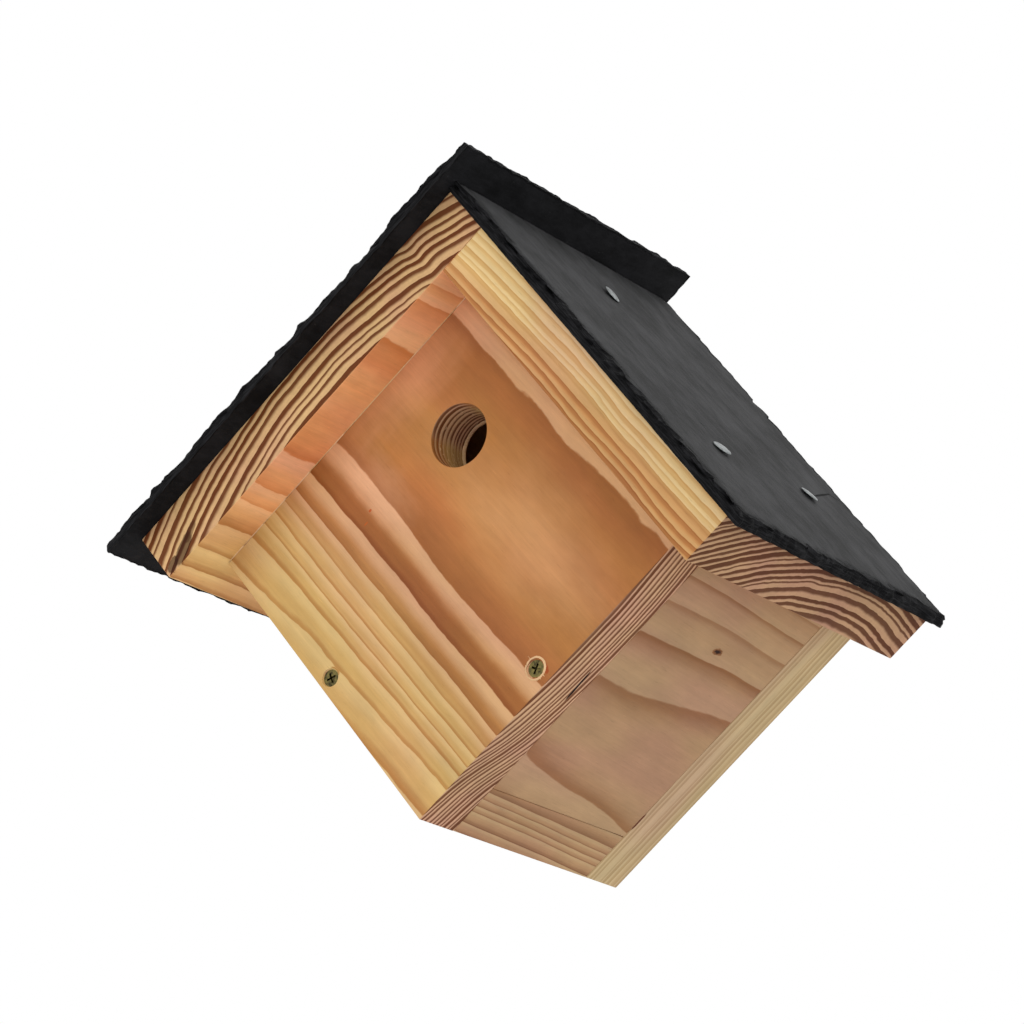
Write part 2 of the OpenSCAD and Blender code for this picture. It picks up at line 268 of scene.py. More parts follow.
def make_softwood():
    """Growth rings round a pith, from pale early wood to dark late wood with a sharp outer edge."""
    inputs = [
        ("Place", "Vector", None), ("Pith Distance", "Float", 200.0),
        ("First Ring", "Float", 0.5), ("Ring Rate", "Float", 0.25), ("Ring Crowding", "Float", 0.0),
        ("Crowding End", "Float", 1000.0), ("Uneven", "Float", 0.5),
        ("Wave", "Float", 0.5), ("Jag", "Float", 1.0), ("Lift", "Float", 0.0),
        ("Late Start", "Float", 0.5), ("Sap Start", "Float", 0.7), ("End Start", "Float", 0.5),
        ("End Soft", "Float", 0.2),
        ("Sap From", "Float", 10.0), ("Sap Width", "Float", 10.0), ("Seed", "Float", 0.0),
        ("Early", "Color", None), ("Middle", "Color", None), ("Late", "Color", None),
        ("Sap Early", "Color", None), ("Sap Middle", "Color", None), ("Sap Late", "Color", None),
        ("End", "Float", 0.0), ("End Early", "Color", None), ("End Late", "Color", None),
    ]
    outputs = [
        ("Color", "Color"), ("Roughness", "Float"), ("Height", "Float"), ("Dark", "Float"),
        ("Shade", "Color")]
    bench, entry, leave = start_group("softwood", inputs, outputs)
    place = entry["Place"]
    end = entry["End"]
    count, out = ring_count(bench, entry)

    drift = bench.noise(place, WOOD_CELLS["sap drift"], 1.0)
    sap = bench.grow(bench.math("SUBTRACT", drift, 0.5), 9.0, out)
    sap = bench.math("SUBTRACT", sap, entry["Sap From"])
    sap = bench.step(bench.math("DIVIDE", sap, entry["Sap Width"]), 0.0, 1.0)
    dark, fill = late_wood(bench, entry, count, sap)

    early = bench.mix(sap, entry["Early"], entry["Sap Early"])
    middle = bench.mix(sap, entry["Middle"], entry["Sap Middle"])
    late = bench.mix(sap, entry["Late"], entry["Sap Late"])
    late = bench.mix(end, late, entry["End Late"])
    colour = bench.mix(end, bench.mix(fill, early, middle), entry["End Early"])
    colour = bench.mix(dark, colour, late)

    broad = bench.noise(place, WOOD_CELLS["broad"], 2.0)
    cloud = bench.noise(place, WOOD_CELLS["cloud"], 3.0, 0.6)
    streak = bench.noise(place, WOOD_CELLS["streak"], 3.0)
    fibre = bench.noise(place, WOOD_CELLS["fibre"], 2.0)
    pore = bench.noise(place, WOOD_CELLS["pore"], 1.0)
    pale_dash = bench.step(pore, 0.24, 0.3, 1.0, 0.0)
    dark_dash = bench.step(pore, 0.68, 0.76)
    shade = bench.grow(broad, 0.42, 0.79)
    for field, gain, base in (
            (cloud, 0.3, 0.85), (streak, 0.2, 0.9), (fibre, 0.16, 0.92),
            (dark_dash, -0.13, 1.0), (pale_dash, 0.1, 1.0)):
        shade = bench.times(shade, bench.grow(field, gain, base))
    grey = bench.join(shade, shade, shade)
    bench.feed(leave["Dark"], dark)
    bench.feed(leave["Shade"], grey)
    colour = bench.mix(1.0, colour, grey, "MULTIPLY")
    blush = bench.step(bench.noise(place, WOOD_CELLS["blush"], 1.0), 0.35, 0.7)
    golden = bench.mix(1.0, colour, (1.04, 1.04, 0.94, 1.0), "MULTIPLY")
    pink = bench.mix(1.0, colour, (1.0, 0.91, 0.93, 1.0), "MULTIPLY")
    bench.feed(leave["Color"], bench.mix(blush, golden, pink))

    rough = bench.grow(dark, -0.12, 0.6)
    rough = bench.grow(fibre, 0.16, rough)
    bench.feed(leave["Roughness"], bench.grow(end, 0.14, rough))
    height = bench.grow(fibre, 0.7, bench.times(dark, 0.12))
    height = bench.grow(streak, 0.35, height)
    bench.feed(leave["Height"], bench.grow(dark_dash, -0.35, height))
    return bench.tree


def make_mark():
    """A ragged spot with a radius of one, for cracks, chips, stains and the cores of knots."""
    inputs = [("Place", "Vector", None), ("Ragged", "Float", 0.3), ("Soft", "Float", 0.25)]
    bench, entry, leave = start_group("mark", inputs, [("Mask", "Float"), ("Distance", "Float")])
    rag = bench.sway(entry["Place"], (1.6, 1.6, 1.6), 3.0, 0.6)
    push = bench.join(entry["Ragged"], entry["Ragged"], entry["Ragged"])
    near = bench.vector("ADD", entry["Place"], bench.vector("MULTIPLY", rag, push))
    away = bench.vector("LENGTH", near)
    inner = bench.math("SUBTRACT", 1.0, entry["Soft"])
    bench.feed(leave["Mask"], bench.step(away, inner, 1.0, 1.0, 0.0))
    bench.feed(leave["Distance"], away)
    return bench.tree


# Noise cells to a millimetre, twice along the slate's faces and once through it
STONE_CELLS = {
    "cloud": (0.035, 0.055, 0.1), "vein": (0.11, 0.3, 0.2), "grit": (1.7, 1.7, 1.7),
    "fleck": (0.33, 0.5, 0.5), "layer": (0.12, 0.12, 2.4),
}


def make_stone():
    """Riven slate: faint bands and flecks, darker and coarser where it has been broken."""
    inputs = [
        ("Place", "Vector", None), ("Broken", "Float", 0.0), ("Painted Sheen", "Float", 1.0),
        ("Seed", "Vector", None)]
    outputs = [("Color", "Color"), ("Roughness", "Float"), ("Height", "Float")]
    bench, entry, leave = start_group("riven_slate", inputs, outputs)
    place = bench.vector("ADD", entry["Place"], entry["Seed"])
    cloud = bench.noise(place, STONE_CELLS["cloud"], 5.0, 0.62)
    vein = bench.noise(place, STONE_CELLS["vein"], 4.0, 0.65)
    grit = bench.noise(place, STONE_CELLS["grit"], 3.0, 0.65)
    fleck = bench.step(bench.noise(place, STONE_CELLS["fleck"], 2.0, 0.7), 0.7, 0.77)
    layer = bench.noise(place, STONE_CELLS["layer"], 2.0, 0.6)
    level = bench.grow(cloud, 0.9, bench.times(vein, 0.45))
    level = bench.grow(grit, 0.35, level)
    level = bench.step(level, 0.62, 1.08)
    # Painted light: the upper face gets the paler tones as a painted sheen, and the other faces get
    # the darker tones, the stone's own colour with painted shade
    face = bench.mix(level, tone(50, 50, 50), tone(72, 72, 73))
    stone_and_painted_shade = bench.mix(level, tone(16, 16, 17), tone(34, 34, 36))
    face = bench.mix(entry["Painted Sheen"], stone_and_painted_shade, face)
    face = bench.mix(bench.times(fleck, 0.2), face, tone(98, 99, 100))
    split = bench.mix(bench.step(layer, 0.4, 0.7), tone(12, 12, 13), tone(36, 36, 38))
    broken = bench.grow(bench.math("SUBTRACT", grit, 0.5), 0.7, entry["Broken"])
    broken = bench.step(broken, 0.25, 0.7)
    bench.feed(leave["Color"], bench.mix(broken, face, split))
    bench.feed(leave["Roughness"], bench.grow(grit, 0.2, 0.62))
    height = bench.grow(vein, 0.8, bench.times(grit, 0.35))
    height = bench.grow(cloud, 0.8, height)
    height = bench.grow(bench.times(layer, broken), 1.6, height)
    bench.feed(leave["Height"], height)
    return bench.tree


def make_zinc():
    """A zinc coat: soft spangles, fine scratches and dull oxide."""
    inputs = [("Place", "Vector", None), ("Bright", "Color", None), ("Dull", "Color", None),
              ("Dirt", "Float", 0.2)]
    outputs = [("Color", "Color"), ("Roughness", "Float"), ("Height", "Float")]
    bench, entry, leave = start_group("zinc_coat", inputs, outputs)
    place = entry["Place"]
    cells = bench.put("ShaderNodeTexVoronoi", {"Vector": place, "Scale": 0.9})
    spangle = bench.put("ShaderNodeSeparateColor", {0: cells.outputs["Color"]}).outputs[0]
    film = bench.noise(place, (0.5, 0.5, 0.5), 4.0, 0.6)
    scratch = bench.noise(place, (7.0, 0.5, 0.5), 2.0, 0.6)
    share = bench.grow(spangle, 0.35, bench.step(film, 0.35, 0.7))
    colour = bench.mix(bench.times(share, 0.75), entry["Bright"], entry["Dull"])
    dirt = bench.math("ADD", bench.step(film, 0.5, 0.75), entry["Dirt"])
    dirt = bench.times(dirt, entry["Dirt"])
    bench.feed(leave["Color"], bench.mix(dirt, colour, tone(52, 40, 26)))
    rough = bench.grow(film, 0.3, 0.24)
    bench.feed(leave["Roughness"], bench.grow(spangle, 0.08, rough))
    bench.feed(leave["Height"], bench.grow(scratch, 0.5, film))
    return bench.tree


SOFTWOOD = make_softwood()
MARK = make_mark()
STONE = make_stone()
ZINC = make_zinc()


# ---- finishes ----

def start_finish(name, specular=0.5):
    """A new material, its bench and its surface shader, with each point's place in the slope
    frame, in mm, and the way it faces."""
    material = bpy.data.materials.new(name)
    material.use_nodes = True
    bench = Bench(material.node_tree)
    shader = material.node_tree.nodes["Principled BSDF"]
    shader.inputs["Specular IOR Level"].default_value = specular
    space = bench.put("ShaderNodeTexCoord")
    place = moved(bench, space.outputs["Object"], RIDGE, SLOPE_TURN.to_euler(), (MM, MM, MM))
    return material, bench, shader, place, space.outputs["Normal"]


def moved(bench, place, centre, turn=(0, 0, 0), scale=(1, 1, 1)):
    """The place as seen from a centre, turned and in units of the scale."""
    node = bench.put("ShaderNodeMapping", {"Vector": place}, vector_type="TEXTURE")
    node.inputs["Location"].default_value = centre
    node.inputs["Rotation"].default_value = turn
    node.inputs["Scale"].default_value = scale
    return node.outputs[0]


def swell(bench, place, lifted, patch, ragged, fall):
    """Lifts the rings where they swell round a centre, and gives the spot it is made from."""
    centre, half, lift = patch
    spot = bench.group(MARK, {"Place": moved(bench, place, centre, scale=half), "Ragged": ragged})
    rise = bench.times(bench.math("POWER", spot["Distance"], 2.0), fall)
    return bench.grow(bench.math("EXPONENT", rise), lift, lifted), spot


def marked(bench, place, colour, height, marks, ragged):
    """Lays cracks, chips and stains over a colour and sinks them into its height.

    Each mark has its centre and half size in mm, its turn, its ink, its strength and its depth."""
    for centre, half, spin, ink, strength, depth in marks:
        spot = bench.group(
            MARK, {"Place": moved(bench, place, centre, spin, half), "Ragged": ragged})
        amount = bench.times(spot["Mask"], strength)
        colour = bench.mix(amount, colour, ink)
        height = bench.grow(amount, -depth, height)
    return colour, height


def close_finish(bench, shader, colour, rough, height, bump, distance):
    """Feeds the finish to the surface shader, with its height as fine relief."""
    bench.feed(shader.inputs["Base Color"], colour)
    bench.feed(shader.inputs["Roughness"], rough)
    values = {"Height": height, "Strength": bump, "Distance": distance}
    relief = bench.put("ShaderNodeBump", values)
    bench.feed(shader.inputs["Normal"], relief.outputs[0])


# How the log lies in the slope frame for grain down the right slope, down the left slope, or
# from front to back
GRAIN = {
    "a": Matrix(((0, 0, 1), (1, 0, 0), (0, 1, 0))),
    "b": Matrix(((0, 1, 0), (0, 0, 1), (1, 0, 0))),
    "d": Matrix(((1, 0, 0), (0, 1, 0), (0, 0, 1))),
}
GRAIN_AXIS = {"a": DOWN_RIGHT, "b": DOWN_LEFT, "d": BACK}

HEARTWOOD = {
    "Early": tone(217, 157, 118), "Middle": tone(181, 123, 76), "Late": tone(148, 88, 48),
    "Sap Early": tone(224, 183, 124), "Sap Middle": tone(208, 167, 108),
    "Sap Late": tone(172, 118, 62),
    "End Early": tone(186, 150, 122), "End Late": tone(104, 62, 36),
}
WOOD_SHINE = 0.16
STONE_SHINE = 0.06


def wood_finish(
        name, grain, pith, lean=(0, 0), knots=(), bends=(), tints_and_painted_light=(), marks=(), colours=None,
        **rings):
    """Softwood sawn from a log whose pith stands at a point of the slope frame, in mm.

    knots and bends push the rings aside, the broad soft patches lay another tint over the wood,
    one of them partly painted light, and marks are cracks, chips and stains."""
    material, bench, shader, place, normal = start_finish(name, WOOD_SHINE)
    turn = GRAIN[grain] @ Matrix.Rotation(lean[0], 3, "X") @ Matrix.Rotation(lean[1], 3, "Y")
    log = moved(bench, place, pith, turn.to_euler())
    facing = bench.math("ABSOLUTE", bench.vector("DOT_PRODUCT", normal, GRAIN_AXIS[grain]))
    values = dict(HEARTWOOD)
    values.update(colours or {})
    values.update({key.replace("_", " ").title(): value for key, value in rings.items()})
    values["Place"] = log
    values["End"] = bench.step(facing, 0.6, 0.9)
    cores = []
    lifted = 0.0
    for knot in knots:
        lifted, core = swell(bench, place, lifted, knot, 0.9, -0.16)
        cores.append(core)
    for bend in bends:
        lifted = swell(bench, place, lifted, bend, 0.0, -1.0)[0]
    values["Lift"] = lifted
    wood = bench.group(SOFTWOOD, values)
    colour = wood["Color"]
    for core in cores:
        rim = bench.step(core["Distance"], 0.3, 0.75)
        inside = bench.mix(rim, tone(44, 20, 8), tone(134, 88, 54))
        colour = bench.mix(core["Mask"], colour, inside)
    # Broad soft patches of another tint over the wood; on the front panel one of them is partly
    # painted light
    for centre, half, ink, strength in tints_and_painted_light:
        patch = {"Place": moved(bench, place, centre, scale=half), "Ragged": 0.9, "Soft": 1.0}
        amount = bench.times(bench.group(MARK, patch)["Mask"], strength)
        amount = bench.times(amount, bench.math("SUBTRACT", 1.0, wood["Dark"]))
        colour = bench.mix(amount, colour, bench.mix(1.0, wood["Shade"], ink, "MULTIPLY"))
    colour, height = marked(bench, place, colour, wood["Height"], marks, 0.7)
    close_finish(bench, shader, colour, wood["Roughness"], height, 0.35, 0.35 * MM)
    return material


def stone_finish(name, outward, grain_turn, seed, marks=()):
    """Riven slate with a painted sheen that makes its upper face paler, and painted shade on its
    other faces.
    """
    material, bench, shader, place, normal = start_finish(name, STONE_SHINE)
    # Painted sheen: faces turned out of the slope's upper side are painted paler, and the rest
    # darker as painted shade
    upper = bench.step(bench.vector("DOT_PRODUCT", normal, outward), 0.5, 0.9)
    broken = bench.put("ShaderNodeAttribute", attribute_name="broken").outputs["Fac"]
    bed = moved(bench, place, (0, 0, 0), grain_turn)
    stone = bench.group(
        STONE, {"Place": bed, "Broken": broken, "Painted Sheen": upper, "Seed": seed})
    colour, height = marked(bench, place, stone["Color"], stone["Height"], marks, 0.9)
    close_finish(bench, shader, colour, stone["Roughness"], height, 0.6, 0.5 * MM)
    return material


def zinc_finish(name, bright, dull, dirt, bump=0.15):
    """Zinc-coated steel, with its bright and dull shades and how much dirt it holds."""
    material, bench, shader, place, _ = start_finish(name)
    shader.inputs["Metallic"].default_value = 1.0
    coat = bench.group(ZINC, {"Place": place, "Bright": bright, "Dull": dull, "Dirt": dirt})
    close_finish(bench, shader, coat["Color"], coat["Roughness"], coat["Height"], bump, 0.1 * MM)
    return material


# Places in the slope frame, in mm: the front panel's face, the back panel's inner face and the
# lower walls' outer faces
PANEL_MM = PANEL_D / MM
BACK_MM = 153
WALLS_MM = 187
# How far behind a face each log's pith lies
FRONT_PITH = 280.0
WALL_RIGHT_PITH = 225.0
WALL_LEFT_PITH = 175
BACK_PITH = 95.0
FRONT_LOG = (106, 74, PANEL_MM - FRONT_PITH)

FRONT_WOOD = wood_finish(
    "front_panel_wood", "a", FRONT_LOG, lean=(0.0, -0.045),
    pith_distance=FRONT_PITH, first_ring=0.6, ring_rate=0.2, ring_crowding=0.0072,
    crowding_end=14.0, uneven=1.1, wave=1.7, late_start=0.46, end_start=0.28, end_soft=0.34,
    sap_from=5.0, sap_width=9.0, seed=3.0,
    bends=[((106, 165, PANEL_MM), (900, 20, 900), 4.8)],
    tints_and_painted_light=[
        # Pale pink over the upper-left corner under the roof: partly the panel's own pink, partly
        # painted light that lifts the shade the roof casts there
        ((26, 62, PANEL_MM), (30, 88, 40), tone(238, 172, 132), 0.42),
        ((134, 74, PANEL_MM), (66, 34, 40), tone(218, 168, 118), 0.34),
        ((88, 97, PANEL_MM), (54, 12, 40), tone(188, 110, 62), 0.3),
        ((74, 45, PANEL_MM), (60, 11, 40), tone(188, 110, 62), 0.3),
        ((60, 112, PANEL_MM), (34, 14, 40), tone(232, 176, 136), 0.4),
    ],
    marks=[
        ((WALLS_MM, 104, PANEL_MM + 19.3), (3, 9.5, 0.8), (0.05, 0, 0), tone(34, 14, 4), 1.0, 1.5),
        ((179, 110, PANEL_MM), (4.6, 1.6, 2), (0, 0, 0.2), tone(158, 70, 26), 0.85, 0.4),
        ((182, 104.5, PANEL_MM), (3.2, 1.4, 2), (0, 0, 0.3), tone(150, 62, 22), 0.8, 0.3),
        ((63, 122, PANEL_MM), (0.7, 0.9, 2), (0, 0, 0), tone(176, 70, 20), 0.8, 0.2),
        ((66, 127, PANEL_MM), (0.5, 1.3, 2), (0, 0, 0), tone(186, 84, 26), 0.6, 0.2),
    ],
    colours={
        "Early": tone(202, 158, 118), "Middle": tone(168, 112, 62), "Late": tone(134, 76, 36),
        "Sap Early": tone(202, 170, 119), "Sap Middle": tone(190, 153, 97),
        "Sap Late": tone(160, 106, 50), "End Early": tone(200, 160, 130),
        "End Late": tone(106, 62, 34),
    })
WALL_RIGHT_WOOD = wood_finish(
    "wall_right_wood", "d", (WALLS_MM + WALL_RIGHT_PITH, 122.5, 101), lean=(-0.096, -0.0118),
    pith_distance=WALL_RIGHT_PITH, first_ring=0.58, ring_rate=0.25, uneven=0.25,
    wave=2.0, jag=0.4, late_start=0.62, sap_from=60.0, sap_width=10.0, seed=11.0,
    knots=[((WALLS_MM, 65, 105), (30, 1.9, 4.2), 0.3)],
    colours={
        "Early": tone(172, 139, 108), "Middle": tone(168, 133, 102), "Late": tone(132, 86, 48),
    })
WALL_LEFT_WOOD = wood_finish(
    "wall_left_wood", "d", (95, WALLS_MM - WALL_LEFT_PITH, 60), lean=(-0.05, 0.0),
    pith_distance=150.0, first_ring=0.3, ring_rate=0.25, uneven=1.2,
    wave=1.8, late_start=0.55, sap_from=80.0, sap_width=10.0, seed=23.0,
    colours={
        "Early": tone(178, 146, 112), "Middle": tone(168, 130, 97), "Late": tone(120, 78, 48),
    })
BACK_WOOD = wood_finish(
    "back_panel_wood", "b", (60, 100, BACK_MM - BACK_PITH), lean=(0.01, 0.015),
    pith_distance=BACK_PITH, first_ring=0.2, ring_rate=0.45, uneven=2.2,
    wave=2.0, late_start=0.6, sap_start=0.5, sap_from=30.0, sap_width=20.0, seed=31.0,
    marks=[
        ((WALLS_MM, 152.5, BACK_MM + 0.4), (3, 5.5, 0.55), (0, 0, 0), tone(96, 44, 26), 0.9, 1.2),
    ],
    colours={
        "Early": tone(206, 166, 118), "Middle": tone(190, 148, 100), "Late": tone(150, 104, 60),
        "Sap Early": tone(191, 167, 132), "Sap Middle": tone(184, 158, 122),
        "Sap Late": tone(164, 136, 98),
    })
ROOF_LEFT_WOOD = wood_finish(
    "roof_left_wood", "d", (230, 93, 80),
    pith_distance=205.0, first_ring=0.46, ring_rate=0.233, uneven=0.8,
    wave=3.4, late_start=0.5, end_start=0.34, end_soft=0.36, sap_from=10.0, sap_width=8.0,
    seed=41.0,
    bends=[((12, 30, 0), (60, 4.5, 40), 1.5), ((12, 118, 0), (60, 16, 60), -1.0)],
    marks=[
        ((20.5, 191, 0), (3.4, 9, 6), (0, 0, -0.45), tone(50, 20, 4), 0.75, 0.5),
        ((22, 199, 0), (2.6, 4.5, 6), (0, 0, -0.45), tone(50, 20, 4), 0.75, 0.5),
        ((17, 184, 0), (2.2, 6, 6), (0, 0, -0.45), tone(60, 26, 6), 0.55, 0.3),
    ],
    colours={
        "Early": tone(238, 184, 140), "Middle": tone(232, 168, 118), "Late": tone(204, 128, 76),
        "Sap Early": tone(222, 184, 128), "Sap Middle": tone(212, 168, 110),
        "Sap Late": tone(170, 116, 60),
        "End Early": tone(202, 164, 120), "End Late": tone(96, 46, 14),
    })
ROOF_RIGHT_WOOD = wood_finish(
    "roof_right_wood", "a", (120, 170, 119), lean=(0.0, -0.024),
    pith_distance=140.0, first_ring=0.3, ring_rate=0.23, ring_crowding=0.0011,
    crowding_end=60.0, uneven=1.3, wave=4.4, late_start=0.45, end_start=0.36, end_soft=0.25,
    sap_start=0.55, sap_from=53.0, sap_width=6.0, seed=53.0,
    colours={
        "Early": tone(192, 148, 100), "Middle": tone(182, 126, 76), "Late": tone(142, 84, 40),
        "Sap Early": tone(208, 180, 136), "Sap Middle": tone(202, 170, 120),
        "Sap Late": tone(182, 138, 82),
        "End Early": tone(182, 144, 114), "End Late": tone(90, 50, 26),
    })
TORN_WOOD = wood_finish(
    "torn_wood", "a", FRONT_LOG,
    pith_distance=FRONT_PITH, wave=2.0, sap_from=200.0, seed=3.0,
    colours={
        "Early": tone(226, 198, 158), "Middle": tone(218, 186, 142), "Late": tone(192, 152, 104),
    })

SLATE_TOP = -SLATE / MM
CRACK = tone(6, 6, 6)
RIGHT_SLATE_STONE = stone_finish(
    "right_slate_stone", OUTWARD[0], (math.pi / 2, 0, 0), (0, 0, 0),
    marks=[
        ((148, SLATE_TOP, 143), (0.7, 4, 20), (0, -0.42, 0), CRACK, 0.95, 1.6),
        ((143, SLATE_TOP, 160), (0.5, 4, 6), (0, 0.1, 0), CRACK, 0.9, 1.2),
        ((139, SLATE_TOP, 52), (0.5, 4, 2.2), (0, 0.5, 0), CRACK, 0.8, 0.8),
    ])
LEFT_SLATE_STONE = stone_finish(
    "left_slate_stone", OUTWARD[1], (0, -math.pi / 2, 0), (310, 90, 40))

SILVER_ZINC = zinc_finish("slate_nail_zinc", tone(172, 176, 176), tone(112, 116, 116), 0.12)
BOARD_ZINC = zinc_finish("board_screw_zinc", tone(206, 206, 204), tone(146, 146, 142), 0.2)
FRONT_ZINC = zinc_finish("front_screw_zinc", tone(134, 122, 70), tone(66, 68, 52), 0.62)
HANGER_STEEL = zinc_finish("hanger_steel", tone(204, 208, 212), tone(140, 146, 152), 0.15, 0.2)


# ---- making pieces ----

def finished(name, bm, material, body, slot, *nodes):
    """Turns the bench mesh into a piece that rides on its body and stands for CAD nodes.

    The small shapes of torn wood stand for none."""
    mesh = bpy.data.meshes.new(name)
    bm.to_mesh(mesh)
    bm.free()
    piece = bpy.data.objects.new(name, mesh)
    bpy.context.scene.collection.objects.link(piece)
    mesh.materials.append(material)
    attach(piece, body)
    if nodes:
        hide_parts(*nodes)


def merged_copy(node):
    """A bench mesh from a CAD node, with its loose triangles joined and its flat faces whole."""
    bm = bmesh.new()
    bm.from_mesh(NODES[node].data)
    bmesh.ops.remove_doubles(bm, verts=bm.verts, dist=MERGE)
    bmesh.ops.dissolve_limit(
        bm, angle_limit=math.radians(0.4), verts=bm.verts, edges=bm.edges)
    return bm


def smooth_round_faces(bm):
    """Shades the bored and turned faces smooth, and leaves flat faces and arrises crisp."""
    for edge in bm.edges:
        turn = edge.calc_face_angle(0.0)
        edge.smooth = turn < ROUND_TURN
        if FLAT_TURN < turn < ROUND_TURN:
            for face in edge.link_faces:
                face.smooth = True


def smooth_all(bm):
    """Shades every face smooth."""
    for face in bm.faces:
        face.smooth = True


def ease(bm, edges, arris):
    """Rounds the given arrises over."""
    bmesh.ops.bevel(
        bm, geom=edges, offset=arris, offset_type="OFFSET", segments=2, profile=0.5,
        affect="EDGES", material=-1, clamp_overlap=False)
    smooth_round_faces(bm)


def eased_board(name, node, material, body, slot, arris=ARRIS, bored_at=None):
    """A sawn board from its CAD node, with its long arrises and its entrance eased."""
    bm = merged_copy(node)
    eased = []
    for edge in bm.edges:
        if edge.calc_face_angle(0.0) < ARRIS_TURN:
            continue
        long_arris = edge.calc_length() > 6 * MM
        on_bore = False
        if bored_at is not None:
            reach = to_slopes((edge.verts[0].co + edge.verts[1].co) / 2) - bored_at
            on_bore = abs(Vector((reach.x, reach.y)).length - ENTRANCE_R) < 0.2 * MM
        if long_arris or on_bore:
            eased.append(edge)
    ease(bm, eased, arris)
    finished(name, bm, material, body, slot, node)


def broken_back(seed, along, layer, reach):
    """How far a riven edge has broken back at a place along it, in one of its layers."""
    slow = noise.noise(Vector((along / 0.034, seed, 0.3)))
    scallop = abs(noise.noise(Vector((along / 0.019, seed + 7, layer * 0.35))))
    leaf = noise.noise(Vector((along / 0.024, seed + 5, layer * 3.1)))
    nick = max(0.0, noise.noise(Vector((along / 0.0055, seed + 13, layer * 1.3))))
    chip = noise.cell(Vector((along / 0.0031, seed + 3, layer * 2.0)))
    share = 0.5 + 0.25 * slow - 0.8 * scallop + 0.22 * leaf + 0.55 * nick + 0.16 * chip
    return max(0.0, reach * share)


# The slates' grid and layers, how far in from an edge a slate is broken, and the dips' spacing
SLATE_PITCH = 1.7 * MM
SLATE_LAYERS = 5
BREAK_ZONE = 16 * MM
DIP_STEP = 0.003


def slate_slab(length, depth):
    """A fine grid slab in layers, with one corner at the origin and its upper face up."""
    bm = bmesh.new()
    bmesh.ops.create_grid(
        bm, x_segments=round(length / SLATE_PITCH), y_segments=round(depth / SLATE_PITCH),
        size=0.5)
    bmesh.ops.scale(bm, vec=(length, depth, 1), verts=bm.verts)
    bmesh.ops.translate(bm, vec=(length / 2, depth / 2, 0), verts=bm.verts)
    under = list(bm.faces)
    grown = bmesh.ops.extrude_face_region(bm, geom=under, use_keep_orig=True)
    upper = [item for item in grown["geom"] if isinstance(item, bmesh.types.BMVert)]
    bmesh.ops.translate(bm, vec=(0, 0, SLATE), verts=upper)
    uprights = [
        edge for edge in bm.edges
        if abs(edge.verts[0].co.z - edge.verts[1].co.z) > SLATE / 2]
    bmesh.ops.subdivide_edges(bm, edges=uprights, cuts=SLATE_LAYERS - 1, use_grid_fill=False)
    bmesh.ops.recalc_face_normals(bm, faces=bm.faces)
    return bm


def break_edges(bm, length, depth, seed, breaks, bevels):
    """Breaks a slab's four edges back layer by layer, and marks where it is broken."""
    mark = bm.verts.layers.float.new("broken")
    for vertex in bm.verts:
        x, y, z = vertex.co
        layer = round(z / SLATE * SLATE_LAYERS)
        share = layer / SLATE_LAYERS
        edges = [
            (x, 0, 1, y), (length - x, 0, -1, y),
            (y, 1, 1, x), (depth - y, 1, -1, x)]
        worn = 0.0
        sink = 0.0
        for i, (away, way, sign, along) in enumerate(edges):
            if away > BREAK_ZONE:
                continue
            fade = (1 - away / BREAK_ZONE) ** 2
            back = broken_back(seed + 11 * i, along, 0, breaks[i])
            flake = broken_back(seed + 11 * i + 5, along, layer, bevels[i]) * share ** 1.4
            shift = back + flake
            vertex.co[way] += sign * shift * fade
            if away < 0.4 * SLATE_PITCH:
                worn = 1.0
            elif share == 1:
                dip = broken_back(seed + 11 * i + 9, along, round(away / DIP_STEP), 1.0)
                near = max(0.0, 1 - away / (2 * bevels[i] + 1e-6))
                sink = max(sink, 0.55 * MM * dip * near)
                worn = max(worn, near * (0.35 + dip))
        vertex.co.z -= sink
        vertex[mark] = min(1.0, worn)


def riven_slate(name, node, down, material, seed, breaks, bevels):
    """A riven slate on its slope: a slab whose edges are broken back layer by layer.

    down is the way down the slope. breaks gives how far the top end, the lower end, the front
    and the rear edge may be broken back, and bevels how much more of the upper face has flaked
    off along them."""
    local = [to_slopes(vertex.co) for vertex in NODES[node].data.vertices]
    axis = 0 if down is DOWN_RIGHT else 1
    low = [min(point[i] for point in local) for i in range(3)]
    high = [max(point[i] for point in local) for i in range(3)]
    length = high[axis] - low[axis]
    depth = high[2] - low[2]
    bm = slate_slab(length, depth)
    break_edges(bm, length, depth, seed, breaks, bevels)
    corner = Vector((0, 0, 0))
    corner[axis] = low[axis]
    corner[2] = low[2]
    turn = Matrix((down, BACK, OUTWARD[axis])).transposed()
    place = Matrix.Translation(at(*corner)) @ turn.to_4x4()
    for vertex in bm.verts:
        vertex.co = place @ vertex.co
    if turn.determinant() < 0:
        bmesh.ops.reverse_faces(bm, faces=bm.faces)
    finished(name, bm, material, "house", "slate_stone", node)


def middle_of(node):
    """The middle of a CAD node's box."""
    low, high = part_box(node)
    return (low + high) / 2


def turned_frame(origin, outward, grain):
    """A frame with its Z out of a face and its X along the grain there."""
    side = outward.cross(grain).normalized()
    return Matrix.Translation(origin) @ Matrix((grain, side, outward)).transposed().to_4x4()


def spun(bm, profile, steps=32):
    """Spins a profile of radius and height pairs round Z into a closed turned shape."""
    verts = [bm.verts.new((radius, 0, height)) for radius, height in profile]
    edges = [bm.edges.new(pair) for pair in zip(verts, verts[1:])]
    bmesh.ops.spin(
        bm, geom=verts + edges, cent=(0, 0, 0), axis=(0, 0, 1), dvec=(0, 0, 0),
        angle=math.tau, steps=steps, use_merge=True, use_duplicate=False)
    bmesh.ops.remove_doubles(bm, verts=bm.verts, dist=MERGE)
    bmesh.ops.recalc_face_normals(bm, faces=bm.faces)


# The radius of a nail's head, in mm
NAIL_HEAD_MM = 4.45


